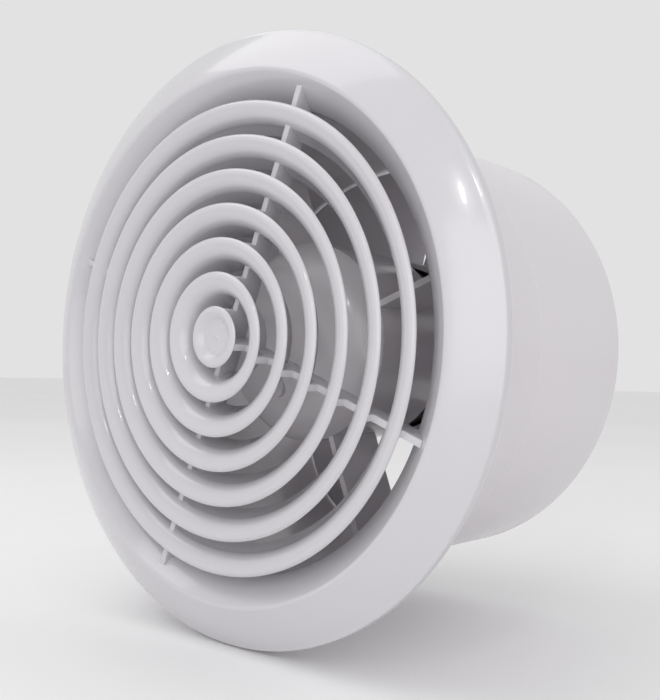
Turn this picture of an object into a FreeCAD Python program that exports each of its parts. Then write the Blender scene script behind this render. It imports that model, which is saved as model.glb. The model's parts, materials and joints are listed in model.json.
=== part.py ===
"""Axial extractor fan for a 150 mm duct, with a round ring grille.

Millimetres. The origin is the centre of the base flange's wall face. +Y runs
down the duct, away from the room, +Z is up, and angles about the fan's axis
are counted from +X towards +Z.
"""
import FreeCAD, Part
import math
import os

import Sketcher
from FreeCAD import Placement, Rotation, Vector

# Driving dimensions. Lengths named *_front and *_rear are distances along the
# axis: in front of the wall face for the cover and base, behind it elsewhere.
SIZES = {
    # cover and its bezel
    "flange_radius": 93.0,
    "flange_edge_front": 6.0,
    "cover_back_front": 3.3,
    "rim_rounding": 0.6,
    "crest_radius": 80.4,
    "crest_front": 12.8,
    "mouth_radius": 78.85,
    "mouth_front": 12.45,
    "throat_radius": 70.9,
    "throat_front": 4.8,
    "cover_wall": 2.0,
    "skirt_radius": 72.1,
    "skirt_rear": 8.0,
    # grille
    "grille_front": 17.8,
    "grille_dome": 0.00088,
    "grille_hub_radius": 9.3,
    "ring_pitch": 10.25,
    "ring_lip": 2.5,
    "ring_curve": 4.4,
    "ring_width": 9.2,
    "ring_back": 5.8,
    "ring_wall": 1.2,
    "rib_angle": 69.0,
    "rib_thickness": 2.0,
    "rib_front": 10.8,
    "rib_back": 3.9,
    # base housing and duct
    "base_radius": 91.6,
    "base_thickness": 2.7,
    "spigot_radius": 74.2,
    "root_fillet": 1.2,
    "spigot_wall": 1.8,
    "spigot_length": 102.4,
    "duct_joint": 47.5,
    "lap_length": 8.0,
    "fixing_circle_radius": 82.5,
    "fixing_hole_radius": 2.25,
    # struts and motor cup
    "strut_angle": 21.0,
    "strut_thickness": 1.9,
    "strut_front": 24.7,
    "strut_rear": 47.0,
    "cup_radius": 32.5,
    "cup_wall": 1.8,
    "cup_rear": 59.1,
    "bulkhead_front": 34.0,
    "bulkhead_thickness": 2.0,
    "nose_front": 11.5,
    # supply cable's way in, beside one strut
    "entry_rear": 29.8,
    "entry_offset": 6.7,
    "channel_width": 8.4,
    "channel_wall": 1.0,
    "cable_radius": 3.2,
    "grommet_hole_radius": 5.0,
    # motor
    "case_radius": 28.6,
    "case_wall": 1.2,
    "case_front": 37.0,
    "case_rear": 80.0,
    "stack_front": 48.0,
    "stack_length": 18.0,
    "pole_radius": 13.4,
    "pole_width": 9.0,
    "air_gap": 0.4,
    "bush_radius": 6.0,
    "bush_length": 7.0,
    "shaft_radius": 2.5,
    "shaft_front": 37.5,
    "shaft_rear": 99.5,
    "running_clearance": 0.03,
    # impeller
    "hub_radius": 31.7,
    "hub_front": 75.8,
    "hub_rear": 95.0,
    "hub_wall": 1.8,
    "blade_tip_radius": 71.4,
    "blade_phase": 110.5,
    "blade_thickness": 2.2,
}

RING_COUNT = 6
RIB_COUNT = 4
STRUT_COUNT = 4
FIXING_COUNT = 4
BLADE_COUNT = 6
POLE_COUNT = 4
BAR_COUNT = 12
MOTOR_SCREW_COUNT = 3

AXIS = Vector(0, 1, 0)
ALONG_Y = Rotation(Vector(1, 0, 0), -90)

doc = FreeCAD.newDocument("extractor_fan")
sheet = doc.addObject("Spreadsheet::Sheet", "sizes")
for row, (alias, value) in enumerate(SIZES.items(), start=1):
    sheet.set("A%d" % row, alias)
    sheet.set("B%d" % row, str(value))
    sheet.setAlias("B%d" % row, alias)
doc.recompute()

NODES = []


def value_of(text):
    """The number that a formula of sheet aliases gives now."""
    sheet.set("D1", "=" + text)
    sheet.recompute()
    return float(sheet.get("D1"))


def bound(text):
    """The same formula, as another object's expression refers to the sheet."""
    words = []
    word = ""
    for letter in text + " ":
        if letter.isalnum() or letter in "_.":
            word += letter
        else:
            words.append("sizes." + word if word in SIZES else word)
            words.append(letter)
            word = ""
    return "".join(words).strip()


def node(label, item):
    """Name an object as one of the fan's pieces."""
    item.Label = label
    NODES.append(item)
    return item


# ---------------------------------------------------------------- sketches


def arc_between(start, end, radius):
    """Arc from start to end, turning left for a positive radius, else right."""
    chord = end - start
    middle = (start + end) * 0.5
    left = Vector(-chord.y, chord.x, 0).normalize()
    rise = math.sqrt(radius * radius - chord.Length * chord.Length / 4)
    side = math.copysign(1.0, radius)
    centre = middle + left * (rise * side)
    crown = centre - left * (abs(radius) * side)
    return Part.Arc(start, crown, end)


def draw_outline(sketch, outline):
    """Closed outline. Each corner is (x, y) or (x, y, radius of the arc that follows)."""
    places = [Vector(value_of(c[0]), value_of(c[1]), 0) for c in outline]
    edges = []
    for index, corner in enumerate(outline):
        start = places[index]
        end = places[(index + 1) % len(outline)]
        if len(corner) == 3:
            radius = value_of(corner[2])
            number = sketch.addGeometry(arc_between(start, end, radius))
            first, last = (1, 2) if radius > 0 else (2, 1)
            row_number = sketch.addConstraint(Sketcher.Constraint("Radius", number, abs(radius)))
            sketch.setExpression("Constraints[%d]" % row_number, bound("abs(%s)" % corner[2]))
        else:
            number = sketch.addGeometry(Part.LineSegment(start, end))
            first, last = 1, 2
        edges.append((number, first, last))
    for index, (number, first, _last) in enumerate(edges):
        before, _first, before_last = edges[index - 1]
        sketch.addConstraint(Sketcher.Constraint("Coincident", before, before_last, number, first))
        for kind, text, amount in (
            ("DistanceX", outline[index][0], places[index].x),
            ("DistanceY", outline[index][1], places[index].y),
        ):
            if text == "0":
                axis = -2 if kind == "DistanceX" else -1
                sketch.addConstraint(Sketcher.Constraint("PointOnObject", number, first, axis))
                continue
            row_number = sketch.addConstraint(Sketcher.Constraint(kind, -1, 1, number, first, amount))
            sketch.setExpression("Constraints[%d]" % row_number, bound(text))


def turned(outline):
    """Outline of (radius, distance along the axis) turned about the fan's axis."""
    body = doc.addObject("PartDesign::Body", "body")
    sketch = body.newObject("Sketcher::SketchObject", "outline")
    plane = next(feature for feature in body.Origin.OriginFeatures if feature.Role == "XY_Plane")
    sketch.AttachmentSupport = [(plane, "")]
    sketch.MapMode = "FlatFace"
    draw_outline(sketch, outline)
    revolution = body.newObject("PartDesign::Revolution", "turned")
    revolution.Profile = sketch
    revolution.ReferenceAxis = (sketch, ["V_Axis"])
    revolution.Angle = 360
    body.Tip = revolution
    return body


def tube(inner, outer, start, end):
    """Plain ring of revolution; inner is "0" for a disc."""
    return turned([(inner, start), (outer, start), (outer, end), (inner, end)])


# ------------------------------------------------------ primitives, booleans


def cylinder(radius, start, end, across="0", up="0"):
    """Cylinder along the fan's axis, from start to end, moved across and up."""
    item = doc.addObject("Part::Cylinder", "cylinder")
    item.Placement = Placement(Vector(), ALONG_Y)
    item.setExpression("Radius", bound(radius))
    item.setExpression("Height", bound("(%s) - (%s)" % (end, start)))
    item.setExpression("Placement.Base.x", bound(across))
    item.setExpression("Placement.Base.y", bound(start))
    item.setExpression("Placement.Base.z", bound(up))
    return item


def radial_cylinder(radius, inner, outer, along, aside):
    """Cylinder that runs outwards along +X."""
    item = doc.addObject("Part::Cylinder", "cylinder")
    item.Placement = Placement(Vector(), Rotation(Vector(0, 1, 0), 90))
    item.setExpression("Radius", bound(radius))
    item.setExpression("Height", bound("(%s) - (%s)" % (outer, inner)))
    item.setExpression("Placement.Base.x", bound(inner))
    item.setExpression("Placement.Base.y", bound(along))
    item.setExpression("Placement.Base.z", bound(aside))
    return item


def box(inner, outer, start, end, width, aside="0"):
    """Box from inner to outer along +X, start to end along Y, centred aside in Z."""
    item = doc.addObject("Part::Box", "box")
    item.setExpression("Length", bound("(%s) - (%s)" % (outer, inner)))
    item.setExpression("Width", bound("(%s) - (%s)" % (end, start)))
    item.setExpression("Height", bound(width))
    item.setExpression("Placement.Base.x", bound(inner))
    item.setExpression("Placement.Base.y", bound(start))
    item.setExpression("Placement.Base.z", bound("(%s) - (%s) / 2" % (aside, width)))
    return item


def compound(members):
    item = doc.addObject("Part::Compound", "group")
    item.Links = members
    return item


def spun(members, angle):
    """Members turned about the fan's axis, from +X towards +Z."""
    item = compound(members)
    item.Placement = Placement(Vector(), Rotation(AXIS, -1))
    item.setExpression("Placement.Rotation.Angle", bound("-(%s)" % angle))
    return item


def around(count, first_angle, make):
    """Copies of what make() returns, evenly spaced about the fan's axis."""
    step = 360.0 / count
    return compound([spun([make()], "%s + %s" % (first_angle, step * i)) for i in range(count)])


def fused(members):
    item = doc.addObject("Part::MultiFuse", "joined")
    item.Shapes = members
    return item


def cut_from(base, tools):
    item = doc.addObject("Part::Cut", "cut")
    item.Base = base
    item.Tool = tools[0] if len(tools) == 1 else fused(tools)
    return item


# ------------------------------------------------------------- front cover


def ring_radius(number):
    """Outer radius of a grille ring; ring 0 is the hub."""
    return "(grille_hub_radius + ring_pitch * %d)" % number


def ring_front(number):
    """Where the ring's nose lies on the shallow dome of the grille."""
    radius = ring_radius(number)
    return "(-grille_front + grille_dome * %s * %s)" % (radius, radius)


def grille_ring(number):
    """One louvre ring: a rounded lip, then a curved slope that steepens towards the back."""
    outer = ring_radius(number)
    front = ring_front(number)
    inner = "(%s - ring_width)" % outer
    return [
        (inner, "-ring_back"),
        ("%s - ring_lip - ring_curve" % outer, "%s + ring_curve + 0.6" % front, "6.0"),
        ("%s - ring_lip" % outer, "%s + 0.45" % front, "1.7"),
        ("%s - 0.1" % outer, "%s + 1.0" % front),
        ("%s - 1.4" % outer, "%s + 2.0" % front, "-4.6"),
        ("%s - ring_lip - ring_curve + 1.3" % outer, "%s + ring_curve + 1.1" % front),
        ("%s + ring_wall" % inner, "-ring_back + 0.4"),
        ("%s + 0.4" % inner, "-ring_back + 0.5"),
    ]


def bezel_outline():
    """The cover's bulging rim, its conical throat and the skirt that enters the spigot."""
    skirt_inner = "skirt_radius - cover_wall + 0.4"
    return [
        ("flange_radius - cover_wall + 0.6", "-cover_back_front"),
        ("flange_radius", "-cover_back_front"),
        ("flange_radius", "-flange_edge_front + rim_rounding", "-0.7"),
        ("flange_radius - rim_rounding", "-flange_edge_front - 0.25", "-50.0"),
        ("crest_radius", "-crest_front", "-1.5"),
        ("mouth_radius", "-mouth_front"),
        ("throat_radius", "-throat_front"),
        (skirt_inner, "-base_thickness"),
        (skirt_inner, "skirt_rear"),
        ("skirt_radius - 0.5", "skirt_rear"),
        ("skirt_radius", "skirt_rear - 1.5"),
        ("skirt_radius", "-base_thickness"),
        ("throat_radius + 1.7", "-throat_front + 1.2"),
        ("crest_radius + 0.3", "-crest_front + cover_wall - 0.3", "48.0"),
        ("flange_radius - cover_wall + 0.2", "-flange_edge_front + 1.0"),
    ]


def grille_hub_outline():
    """Dished hub: a lip like the rings', a sloping wall and a flat floor with a small pip."""
    front = "(-grille_front + 0.8)"
    rim = "(grille_hub_radius - 0.1)"
    return [
        ("0", "%s + 1.6" % front),
        ("0.8", "%s + 2.0" % front),
        ("5.2", "%s + 2.0" % front),
        ("%s - 2.1" % rim, "%s + 0.45" % front, "1.4"),
        (rim, "%s + 0.9" % front),
        ("%s - 0.7" % rim, "%s + 1.8" % front),
        ("%s - 2.4" % rim, "%s + 3.6" % front),
        ("0", "%s + 3.6" % front),
    ]


def rib():
    """Flat radial rib. Its end steps outwards inside the bezel's flaring wall, and
    a tab reaches forward to the back of each ring's lip."""
    members = [box("0", "3.5", "-grille_front + 3.5", "-rib_back", "rib_thickness")]
    for step in range(3):
        outer = "throat_radius + 1.5 + 2.2 * %d" % step
        members.append(box("0", outer, "-rib_front", "-rib_back - 2.3 * %d" % step, "rib_thickness"))
    for number in range(RING_COUNT + 1):
        outer = ring_radius(number)
        start = "%s + 1.7" % ring_front(number)
        members.append(box("%s - 2.6" % outer, "%s - 0.4" % outer, start, "-rib_front + 1", "rib_thickness"))
    return fused(members)


def front_cover():
    """Bezel, and the ring grille whose ribs end flush on the bezel's throat."""
    bezel = node("front_bezel", turned(bezel_outline()))
    rings = [turned(grille_ring(number)) for number in range(1, RING_COUNT + 1)]
    ribs = [spun([rib()], "rib_angle + %s" % (360.0 / RIB_COUNT * i)) for i in range(RIB_COUNT)]
    grille = fused([turned(grille_hub_outline())] + rings + ribs)
    node("front_grille", cut_from(grille, [bezel]))


# ------------------------------------------------------- base and duct tube

ENTRY_ANGLE = "strut_angle + 180"
FIXING_START = "45"
MOTOR_SCREW_RADIUS = "22"
MOTOR_SCREW_START = "30"
LEAD_RADIUS = "17"
LEAD_ANGLE = "90"
LEAD_HOLE_RADIUS = "3.2"
NOSE_SCREW_UP = "-15"


def base_flange():
    """Flat ring that screws to the wall, filleted at the root of the spigot."""

    def fixing_hole():
        return cylinder("fixing_hole_radius", "-base_thickness - 1", "1", "fixing_circle_radius")

    inner = "spigot_radius - spigot_wall"
    ring = turned(
        [
            (inner, "-base_thickness"),
            ("base_radius - 0.6", "-base_thickness"),
            ("base_radius", "-base_thickness + 0.6"),
            ("base_radius", "-0.4"),
            ("base_radius - 0.4", "0"),
            ("spigot_radius + root_fillet", "0", "-root_fillet"),
            ("spigot_radius", "root_fillet"),
            (inner, "root_fillet"),
        ]
    )
    return node("base_flange", cut_from(ring, [around(FIXING_COUNT, FIXING_START, fixing_hole)]))


def base_spigot():
    """Front part of the spigot, with its lap for the rear tube and the cable's hole."""
    inner = "spigot_radius - spigot_wall"
    lap = "spigot_radius - spigot_wall / 2"
    wall = turned(
        [
            (inner, "root_fillet"),
            ("spigot_radius", "root_fillet"),
            ("spigot_radius", "duct_joint - 0.25"),
            ("spigot_radius - 0.25", "duct_joint"),
            (lap, "duct_joint"),
            (lap, "duct_joint + lap_length"),
            (inner, "duct_joint + lap_length"),
        ]
    )
    hole = radial_cylinder(
        "grommet_hole_radius", "spigot_radius - 6", "spigot_radius + 3", "entry_rear", "entry_offset"
    )
    return node("base_spigot", cut_from(wall, [spun([hole], ENTRY_ANGLE)]))


def strut():
    """Flat plate from the motor cup to the spigot's wall, its ends curved to fit both."""
    wall_inner = "spigot_radius - spigot_wall"
    plate = box("cup_radius - 1", "spigot_radius", "strut_front", "strut_rear", "strut_thickness")
    cup_side = cylinder("cup_radius", "strut_front - 1", "strut_rear + 1")
    wall_side = tube(wall_inner, "spigot_radius + 2", "strut_front - 1", "strut_rear + 1")
    return cut_from(plate, [cup_side, wall_side])


def motor_struts():
    return node("motor_struts", around(STRUT_COUNT, "strut_angle", strut))


def cup_outline():
    """Motor cup: a tube with a bulkhead that parts the wiring from the motor."""
    inner = "cup_radius - cup_wall"
    return [
        ("7.5", "bulkhead_front"),
        (inner, "bulkhead_front"),
        (inner, "strut_front + 1.0"),
        ("cup_radius - 0.9", "strut_front + 1.0"),
        ("cup_radius - 0.9", "strut_front"),
        ("cup_radius", "strut_front"),
        ("cup_radius", "cup_rear - 0.8", "0.8"),
        ("cup_radius - 0.8", "cup_rear"),
        (inner, "cup_rear"),
        (inner, "bulkhead_front + bulkhead_thickness"),
        ("7.5", "bulkhead_front + bulkhead_thickness"),
    ]


def motor_cup():
    """Cup with the bulkhead, the nose cap's screw post and the holes for screws, leads and cable."""
    nose_post = cylinder("2.8", "nose_front + 4.2", "bulkhead_front + 1", "0", NOSE_SCREW_UP)

    def motor_screw_hole():
        return cylinder("1.6", "bulkhead_front - 1", "case_front", MOTOR_SCREW_RADIUS)

    channel_hole = box(
        "cup_radius - cup_wall - 2.2",
        "cup_radius + 1",
        "entry_rear - channel_width / 2",
        "entry_rear + channel_width / 2",
        "channel_width",
        "entry_offset",
    )
    holes = [
        around(MOTOR_SCREW_COUNT, MOTOR_SCREW_START, motor_screw_hole),
        spun([channel_hole], ENTRY_ANGLE),
        spun([cylinder(LEAD_HOLE_RADIUS, "bulkhead_front - 1", "case_front", LEAD_RADIUS)], LEAD_ANGLE),
        cylinder("1.45", "nose_front", "bulkhead_front - 4", "0", NOSE_SCREW_UP),
    ]
    return node("motor_cup", cut_from(fused([turned(cup_outline()), nose_post]), holes))


def duct_extension():
    """Rear tube of the spigot, which laps over the front part."""
    inner = "spigot_radius - spigot_wall"
    lap = "spigot_radius - spigot_wall / 2"
    return node(
        "duct_extension",
        turned(
            [
                (lap, "duct_joint"),
                ("spigot_radius - 0.25", "duct_joint"),
                ("spigot_radius", "duct_joint + 0.25"),
                ("spigot_radius", "spigot_length - 0.8", "0.8"),
                ("spigot_radius - 0.8", "spigot_length"),
                (inner, "spigot_length"),
                (inner, "duct_joint + lap_length"),
                (lap, "duct_joint + lap_length"),
            ]
        ),
    )


def nose_cap():
    """Domed front of the motor cup, over the terminals."""
    wall = "cup_wall"
    dome = turned(
        [
            ("0", "nose_front"),
            ("9.0", "nose_front", "34.0"),
            ("24.0", "nose_front + 4.1", "17.0"),
            ("cup_radius", "strut_front - 0.1"),
            ("cup_radius - 0.95", "strut_front - 0.1"),
            ("cup_radius - 0.95", "strut_front + 0.7"),
            ("cup_radius - %s" % wall, "strut_front + 0.7"),
            ("cup_radius - %s" % wall, "strut_front - 0.1", "-15.2"),
            ("24.0 - 1.0", "nose_front + 5.8", "-32.2"),
            ("9.0", "nose_front + %s" % wall),
            ("0", "nose_front + %s" % wall),
        ]
    )
    screw_hole = cylinder("1.7", "nose_front - 1", "nose_front + 5", "0", NOSE_SCREW_UP)
    head_seat = cylinder("3.1", "nose_front - 2", "nose_front + 1.3", "0", NOSE_SCREW_UP)
    return node("nose_cap", cut_from(dome, [screw_hole, head_seat]))


# --------------------------------------------------------- wiring and entry


def cable_grommet():
    """Rubber bush in the spigot's wall: flanged inside, sunk outside, with a lip for the cable."""
    wall_inner = "spigot_radius - spigot_wall"
    neck = "grommet_hole_radius - 0.1"
    rim = "entry_offset - strut_thickness / 2 - 0.1"
    start = "%s - 3.0" % wall_inner
    lip_end = "%s - 1.1" % wall_inner
    beyond = "spigot_radius + 3"
    flange = cut_from(
        radial_cylinder(rim, start, "spigot_radius", "entry_rear", "entry_offset"),
        [tube(wall_inner, beyond, "entry_rear - 9", "entry_rear + 9")],
    )
    neck_body = radial_cylinder(neck, start, "spigot_radius - 1", "entry_rear", "entry_offset")
    bore = radial_cylinder("cable_radius", "%s - 1" % start, lip_end, "entry_rear", "entry_offset")
    mouth = radial_cylinder("cable_radius + 0.8", lip_end, beyond, "entry_rear", "entry_offset")
    return node("cable_grommet", spun([cut_from(fused([flange, neck_body]), [bore, mouth])], ENTRY_ANGLE))


def cable_channel():
    """Square tube beside one strut that carries the cable across the air path."""
    inner = "cup_radius - cup_wall - 2.0"
    outer = "spigot_radius - spigot_wall - 3.2"
    half = "channel_width / 2"
    front = "entry_rear - %s" % half
    rear = "entry_rear + %s" % half
    tube_body = box(inner, outer, front, rear, "channel_width", "entry_offset")
    bore = box(
        "%s - 1" % inner,
        "%s + 1" % outer,
        "%s + channel_wall" % front,
        "%s - channel_wall" % rear,
        "channel_width - 2 * channel_wall",
        "entry_offset",
    )
    return node("cable_channel", spun([cut_from(tube_body, [bore])], ENTRY_ANGLE))


TERMINAL_FRONT = "bulkhead_front - 10"
TERMINAL_PITCH = 8.0
TERMINAL_COLUMNS = (-1, 0, 1)
TERMINAL_HALF_LENGTH = "12.5"
TERMINAL_WIDTH = "13"
INSERT_RADIUS = "3.0"
INSERT_CLEARANCE = "0.05"
WIRE_WAY_LENGTH = "16"

# Screws: shank radius, head radius, whole length and head height.
TERMINAL_SCREW = ("1.2", "1.8", "3.0", "1.4")
CLAMP_SCREW = ("1.2", "2.2", "9.7", "1.5")
NOSE_SCREW = ("1.45", "2.9", "15", "1.6")
MOTOR_SCREW = ("1.2", "2.6", "7.5", "1.8")
SCREW_SLOT_WIDTH = "0.7"


def terminal_columns(make):
    """One item for each pole of the terminal block."""
    return [make("%s" % (TERMINAL_PITCH * column)) for column in TERMINAL_COLUMNS]


def terminal_block():
    """Three-pole insulating block on the bulkhead; the wires enter from its long sides."""
    low = "-%s" % TERMINAL_HALF_LENGTH
    block = box(low, TERMINAL_HALF_LENGTH, TERMINAL_FRONT, "bulkhead_front", TERMINAL_WIDTH)
    ways = terminal_columns(
        lambda x: cylinder(INSERT_RADIUS, "bulkhead_front - 8.2", "bulkhead_front - 2.0", x)
    )
    screw_wells = terminal_columns(
        lambda x: cylinder("2.0", "%s - 1" % TERMINAL_FRONT, "bulkhead_front - 8", x)
    )
    mouths = []
    for column in TERMINAL_COLUMNS:
        x = TERMINAL_PITCH * column
        low = "%s - 1.5" % x
        high = "%s + 1.5" % x
        mouths.append(box(low, high, "bulkhead_front - 6.6", "bulkhead_front - 3.6", WIRE_WAY_LENGTH))
    return node("terminal_block", cut_from(block, ways + screw_wells + mouths))


def terminal_inserts():
    """Brass clamping inserts, bored for the wire and tapped for the screw."""
    members = []
    for column in TERMINAL_COLUMNS:
        x = "%s" % (TERMINAL_PITCH * column)
        radius = "%s - %s" % (INSERT_RADIUS, INSERT_CLEARANCE)
        body = cylinder(radius, "bulkhead_front - 8.1", "bulkhead_front - 2.1", x)
        low = "%s - 1.3" % x
        high = "%s + 1.3" % x
        bore = box(low, high, "bulkhead_front - 6.4", "bulkhead_front - 3.8", WIRE_WAY_LENGTH)
        thread = cylinder("1.25", "bulkhead_front - 9", "bulkhead_front - 6", x)
        members.append(cut_from(body, [bore, thread]))
    return node("terminal_inserts", compound(members))


def slotted_screw(sizes, start, x="0", up="0"):
    """Cheese-head screw whose head faces the room, with a straight slot."""
    shank, head, length, head_length = sizes
    shoulder = "%s + %s" % (start, head_length)
    shank_body = cylinder(shank, shoulder, "%s + %s" % (start, length), x, up)
    head_body = cylinder(head, start, shoulder, x, up)
    slot_bottom = "%s + %s / 2" % (start, head_length)
    low = "%s - %s" % (x, head)
    high = "%s + %s" % (x, head)
    slot = box(low, high, "%s - 0.1" % start, slot_bottom, SCREW_SLOT_WIDTH, up)
    return cut_from(fused([shank_body, head_body]), [slot])


def terminal_screws():
    members = terminal_columns(lambda x: slotted_screw(TERMINAL_SCREW, "bulkhead_front - 9.6", x))
    return node("terminal_screws", compound(members))


CLAMP_X = "-17.5"
CLAMP_UP = "-12"
CLAMP_SCREWS = ("%s + 5.9" % CLAMP_UP, "%s - 5.9" % CLAMP_UP)


def cord_clamp():
    """Bridge that holds the supply cable down on the bulkhead."""
    low = "%s - 2.5" % CLAMP_X
    high = "%s + 2.5" % CLAMP_X
    bridge = box(low, high, "bulkhead_front - 8.2", "bulkhead_front", "16.4", CLAMP_UP)
    arch = box("%s - 1" % low, "%s + 1" % high, "bulkhead_front - 6.4", "bulkhead_front + 1", "7", CLAMP_UP)
    holes = [cylinder("1.2", "bulkhead_front - 9", "bulkhead_front + 1", CLAMP_X, up) for up in CLAMP_SCREWS]
    return node("cord_clamp", cut_from(bridge, [arch] + holes))


def cord_clamp_screws():
    head = "bulkhead_front - 9.7"
    members = [slotted_screw(CLAMP_SCREW, head, CLAMP_X, up) for up in CLAMP_SCREWS]
    return node("cord_clamp_screws", compound(members))


def nose_cap_screw():
    screw = slotted_screw(NOSE_SCREW, "nose_front - 0.3", "0", NOSE_SCREW_UP)
    return node("nose_cap_screw", screw)


def lead_path(side):
    """Lead from the windings, forward through the bulkhead and over to a terminal."""
    front = value_of("bulkhead_front - 5.1")
    rear = value_of("stack_front - 1.5")
    radius = value_of(LEAD_RADIUS)
    bend = 3.5
    start = Vector(side * 1.3, rear, radius)
    turn = Vector(side * 1.3, front + bend, radius)
    crown = Vector(side * 1.3, front + bend * (1 - math.sqrt(0.5)), radius - bend * (1 - math.sqrt(0.5)))
    landed = Vector(side * 1.3, front, radius - bend)
    finish = Vector(side * 1.3, front, 7.0)
    edges = [
        Part.LineSegment(start, turn).toShape(),
        Part.Arc(turn, crown, landed).toShape(),
        Part.LineSegment(landed, finish).toShape(),
    ]
    return Part.Wire(edges), start


def motor_leads():
    """Two insulated leads, swept along straight runs and tangent arcs."""
    solids = []
    for side in (-1, 1):
        path, start = lead_path(side)
        ring = Part.Wire([Part.Circle(start, AXIS, 0.8).toShape()])
        solids.append(path.makePipeShell([ring], True, False))
    item = doc.addObject("Part::Feature", "leads")
    item.Shape = Part.makeCompound(solids)
    return node("motor_leads", item)


# -------------------------------------------------------------------- motor


def motor_case():
    """Moulded can round the motor, closed at the rear round the rear bush."""
    inner = "case_radius - case_wall"
    rear = "case_rear - 2.0"
    seat = "bush_radius + 2.2"
    seat_front = "case_rear - 10.5"
    return node(
        "motor_case",
        turned(
            [
                ("case_radius - 1.0", "case_front + 3.0"),
                ("case_radius", "case_front + 3.0"),
                ("case_radius", "case_rear - 1.5", "1.5"),
                ("case_radius - 1.5", "case_rear"),
                ("shaft_radius + 1.4", "case_rear"),
                ("shaft_radius + 1.4", "case_rear - 3.5"),
                ("bush_radius", "case_rear - 3.5"),
                ("bush_radius", seat_front),
                (seat, seat_front),
                (seat, rear),
                (inner, rear),
                (inner, "case_front + 5.0"),
                ("case_radius - 1.0", "case_front + 5.0"),
            ]
        ),
    )


def motor_front_shield():
    """Front end shield with the front bush's seat and three screw bosses."""
    seat = "bush_radius + 2.2"
    disc = turned(
        [
            ("shaft_radius + 1.4", "case_front + 0.3"),
            (seat, "case_front + 0.3"),
            (seat, "case_front + 2.0"),
            ("case_radius", "case_front + 2.0"),
            ("case_radius", "case_front + 3.0"),
            ("case_radius - 1.0", "case_front + 3.0"),
            ("case_radius - 1.0", "case_front + 5.0"),
            ("case_radius - 2.6", "case_front + 5.0"),
            ("case_radius - 2.6", "case_front + 3.6"),
            (seat, "case_front + 3.6"),
            (seat, "case_front + 8.4"),
            ("bush_radius", "case_front + 8.4"),
            ("bush_radius", "case_front + 1.5"),
            ("shaft_radius + 1.4", "case_front + 1.5"),
        ]
    )

    def boss():
        return cylinder("3.2", "bulkhead_front + bulkhead_thickness", "case_front + 2.5", MOTOR_SCREW_RADIUS)

    def screw_hole():
        return cylinder("1.25", "bulkhead_front", "case_front + 5", MOTOR_SCREW_RADIUS)

    hole_body = cylinder(LEAD_HOLE_RADIUS, "case_front - 1", "case_front + 6", LEAD_RADIUS)
    lead_hole = spun([hole_body], LEAD_ANGLE)
    shield = fused([disc, around(MOTOR_SCREW_COUNT, MOTOR_SCREW_START, boss)])
    screw_holes = around(MOTOR_SCREW_COUNT, MOTOR_SCREW_START, screw_hole)
    return node("motor_front_shield", cut_from(shield, [screw_holes, lead_hole]))


def motor_screws():
    """Screws through the bulkhead into the front shield's bosses."""

    def screw():
        return slotted_screw(MOTOR_SCREW, "bulkhead_front - 1.8", MOTOR_SCREW_RADIUS)

    return node("motor_screws", around(MOTOR_SCREW_COUNT, MOTOR_SCREW_START, screw))


def isolation_rings():
    """Two rubber rings that centre the motor case in the cup."""
    rings = [
        tube("case_radius", "cup_radius - cup_wall", start, "%s + 4.0" % start)
        for start in ("case_front + 6.0", "cup_rear - 6.0")
    ]
    return node("isolation_rings", compound(rings))


POLE_START = "45"
STACK_REAR = "stack_front + stack_length"
YOKE_OUTER = "case_radius - case_wall"
YOKE_INNER = "case_radius - case_wall - 4.7"
SHADE_INNER = "pole_radius + 0.7"
SHADE_OUTER = "pole_radius + 1.7"


def shading_loop():
    """Copper loop round one side of a pole's face."""
    frame = box(SHADE_INNER, SHADE_OUTER, "stack_front - 1.0", "%s + 1.0" % STACK_REAR, "4.4", "4.9")
    window = box("%s - 1" % SHADE_INNER, "%s + 1" % SHADE_OUTER, "stack_front", STACK_REAR, "2.4", "4.9")
    return cut_from(frame, [window])


def stator_stack():
    """Laminated yoke with four salient poles whose faces are bored for the rotor."""

    def pole():
        neck = box("pole_radius + 1", "%s + 0.5" % YOKE_INNER, "stack_front", STACK_REAR, "pole_width")
        shoe = box("pole_radius - 4", "pole_radius + 2.4", "stack_front", STACK_REAR, "15")
        return fused([neck, shoe])

    yoke = tube(YOKE_INNER, YOKE_OUTER, "stack_front", STACK_REAR)
    poles = [spun([pole()], "%s + %s" % (POLE_START, 360.0 / POLE_COUNT * i)) for i in range(POLE_COUNT)]
    bore = cylinder("pole_radius", "stack_front - 1", "%s + 1" % STACK_REAR)
    loops = around(POLE_COUNT, POLE_START, shading_loop)
    return node("stator_stack", cut_from(fused([yoke] + poles), [bore, loops]))


def shading_rings():
    return node("shading_rings", around(POLE_COUNT, POLE_START, shading_loop))


COIL_INNER = "pole_radius + 3.4"
COIL_OUTER = "%s - 1.8" % YOKE_INNER
BOBBIN_WALL = "0.8"
COIL_BUILD = "2.6"


def pole_frame(inner, outer, first, last):
    """Rectangular frame round a pole, from first to last away from the pole's sides."""
    rest = "stack_front - (%s)" % last, "%s + (%s)" % (STACK_REAR, last), "pole_width + 2 * (%s)" % last
    core = "stack_front - (%s)" % first, "%s + (%s)" % (STACK_REAR, first), "pole_width + 2 * (%s)" % first
    outside = box(inner, outer, rest[0], rest[1], rest[2])
    inside = box("%s - 1" % inner, "%s + 1" % outer, core[0], core[1], core[2])
    return cut_from(outside, [inside])


def pole_bobbins():
    """Insulating formers, one on each pole, with a flange at each end."""

    def bobbin():
        reach = "%s + %s" % (BOBBIN_WALL, COIL_BUILD)
        return fused(
            [
                pole_frame("%s - 0.7" % COIL_INNER, "%s + 0.6" % COIL_OUTER, "0.05", BOBBIN_WALL),
                pole_frame("%s - 0.7" % COIL_INNER, COIL_INNER, "0.05", reach),
            ]
        )

    return node("pole_bobbins", around(POLE_COUNT, POLE_START, bobbin))


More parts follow.
